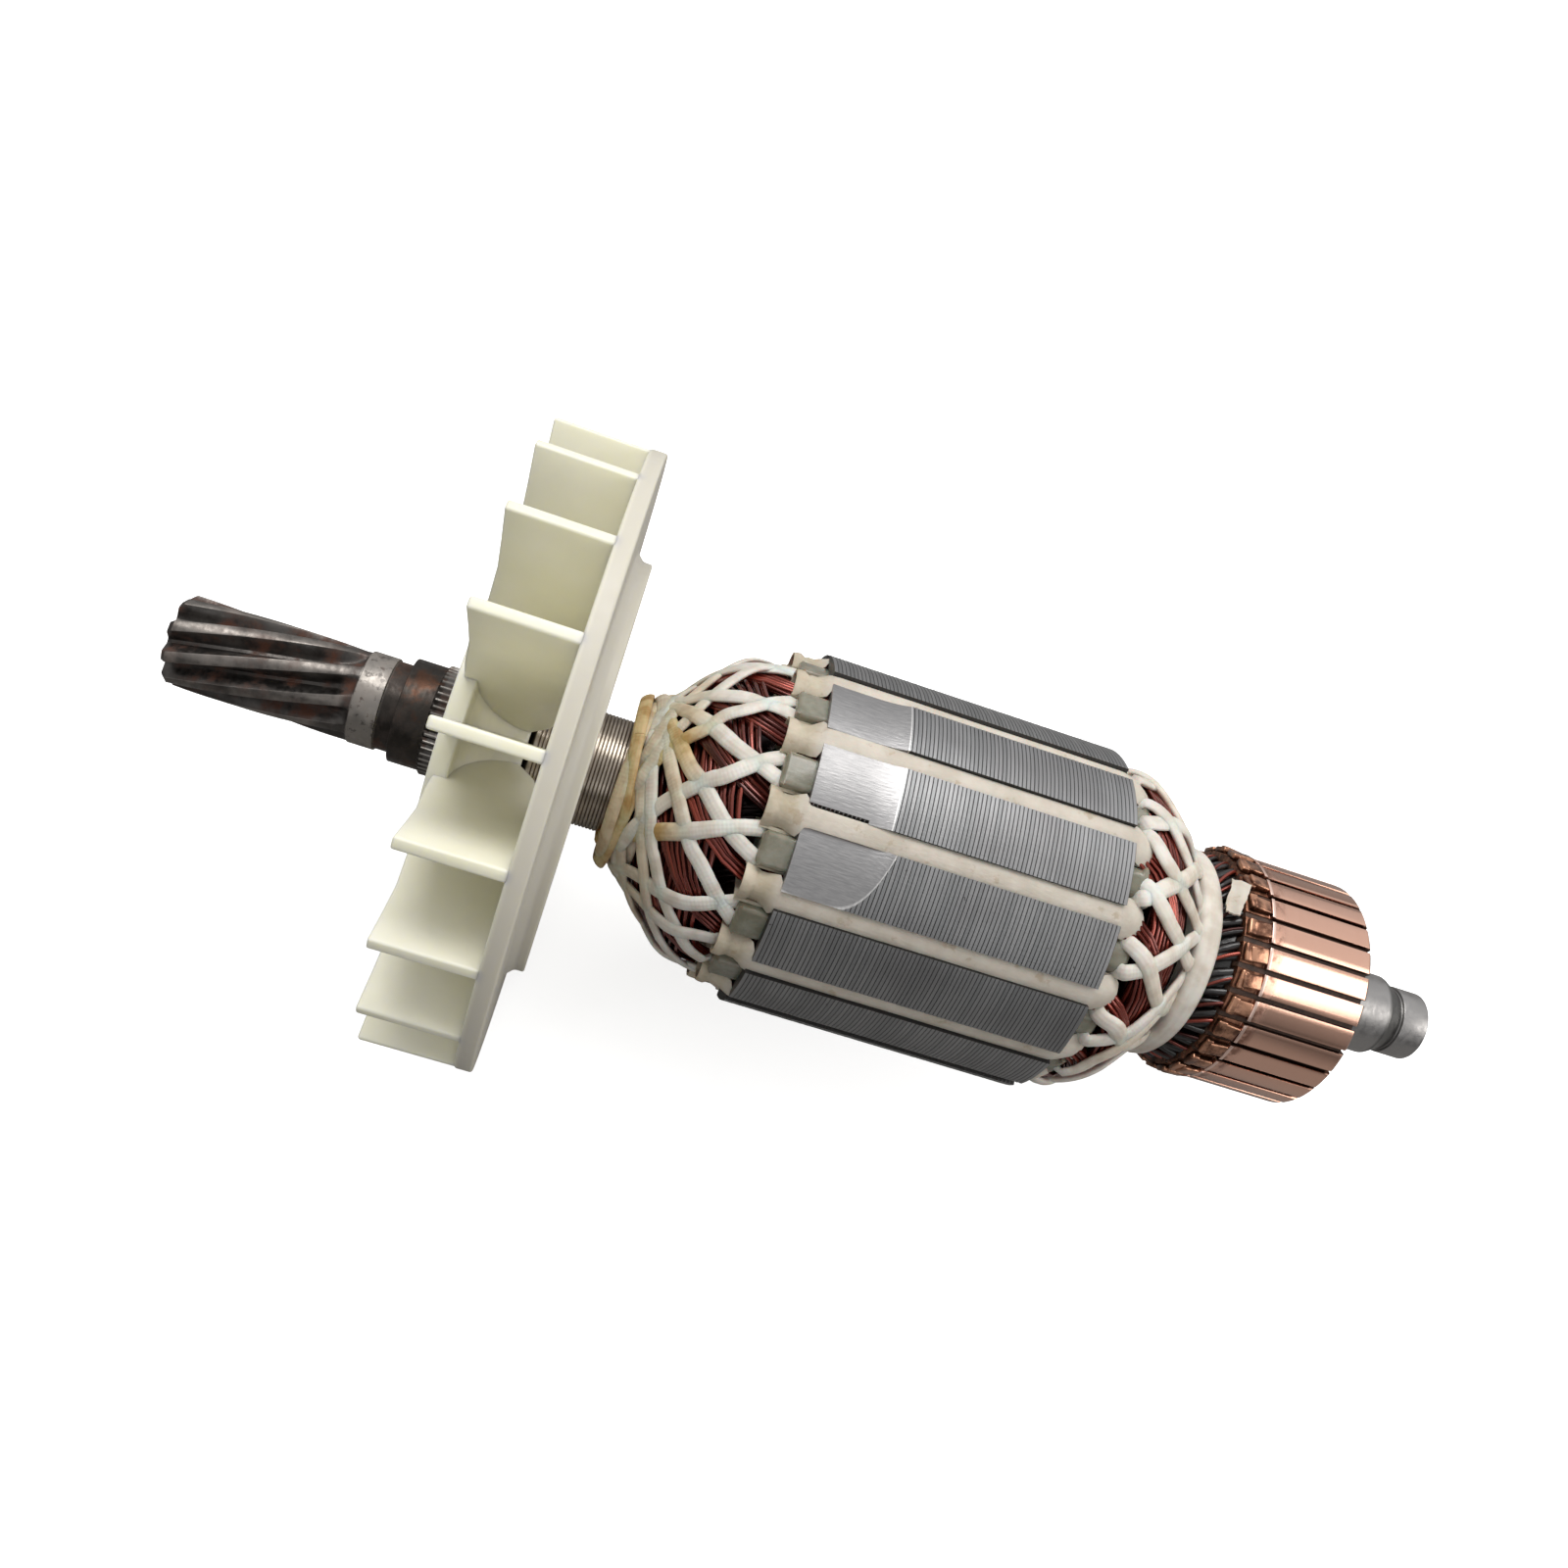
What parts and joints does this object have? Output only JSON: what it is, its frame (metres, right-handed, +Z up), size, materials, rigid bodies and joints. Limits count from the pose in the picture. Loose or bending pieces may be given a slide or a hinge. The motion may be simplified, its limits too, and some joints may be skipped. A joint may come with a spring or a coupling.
{
  "type": "motor armature",
  "caption": "Wound universal-motor armature with a helical pinion, moulded cooling fan, laminated core, laced windings and a copper commutator.",
  "frame": {"origin": "on the shaft axis, at the middle of the small bearing seat at the commutator end", "axes": "+X along the shaft from the pinion to the commutator end, +Z up through the middle of a core slot"},
  "size_m": [0.1647, 0.0776, 0.0776],
  "materials": {
    "shaft_steel": "oxidised, with rust on the pinion and collar",
    "sleeve_steel": "ring-grooved, bright",
    "fan_nylon": "natural nylon, slightly translucent",
    "core_steel": "stacked laminations with milled patches",
    "insulator": "pale green, slightly translucent",
    "slot_paper": "cream pressboard",
    "winding_wire": "dark red enamelled copper wire under varnish",
    "lacing_cord": "flat white cord, yellowed by varnish near the neck",
    "commutator_copper": "turned copper with staked risers",
    "mica": "undercut mica",
    "resin": "dark moulding resin"
  },
  "bodies": {
    "root": {"shaft": "shaft_steel", "spacer_sleeve": "sleeve_steel", "fan_hub": "fan_nylon", "fan_blades": "fan_nylon", "fan_shroud": "fan_nylon", "core": "core_steel", "shaft_insulation": "insulator", "end_star_drive": "insulator", "end_star_commutator": "insulator", "winding": "winding_wire", "lacing_drive": "lacing_cord", "neck_binding": "lacing_cord", "lacing_commutator": "lacing_cord", "binding_band": "lacing_cord", "lead_wires": "winding_wire", "paper_tongue": "slot_paper", "commutator_bars": "commutator_copper", "commutator_mica": "mica", "commutator_hub": "resin", "commutator_bush": "shaft_steel", "slot_liner_1": "slot_paper", "slot_liner_2": "slot_paper", "slot_liner_3": "slot_paper", "slot_liner_4": "slot_paper", "slot_liner_5": "slot_paper", "slot_liner_6": "slot_paper", "slot_liner_7": "slot_paper", "slot_liner_8": "slot_paper", "slot_liner_9": "slot_paper", "slot_liner_10": "slot_paper", "slot_liner_11": "slot_paper", "slot_liner_12": "slot_paper", "slot_liner_13": "slot_paper", "slot_liner_14": "slot_paper", "slot_wedge_1": "slot_paper", "slot_wedge_2": "slot_paper", "slot_wedge_3": "slot_paper", "slot_wedge_4": "slot_paper", "slot_wedge_5": "slot_paper", "slot_wedge_6": "slot_paper", "slot_wedge_7": "slot_paper", "slot_wedge_8": "slot_paper", "slot_wedge_9": "slot_paper", "slot_wedge_10": "slot_paper", "slot_wedge_11": "slot_paper", "slot_wedge_12": "slot_paper", "slot_wedge_13": "slot_paper", "slot_wedge_14": "slot_paper"}
  },
  "joints": []
}
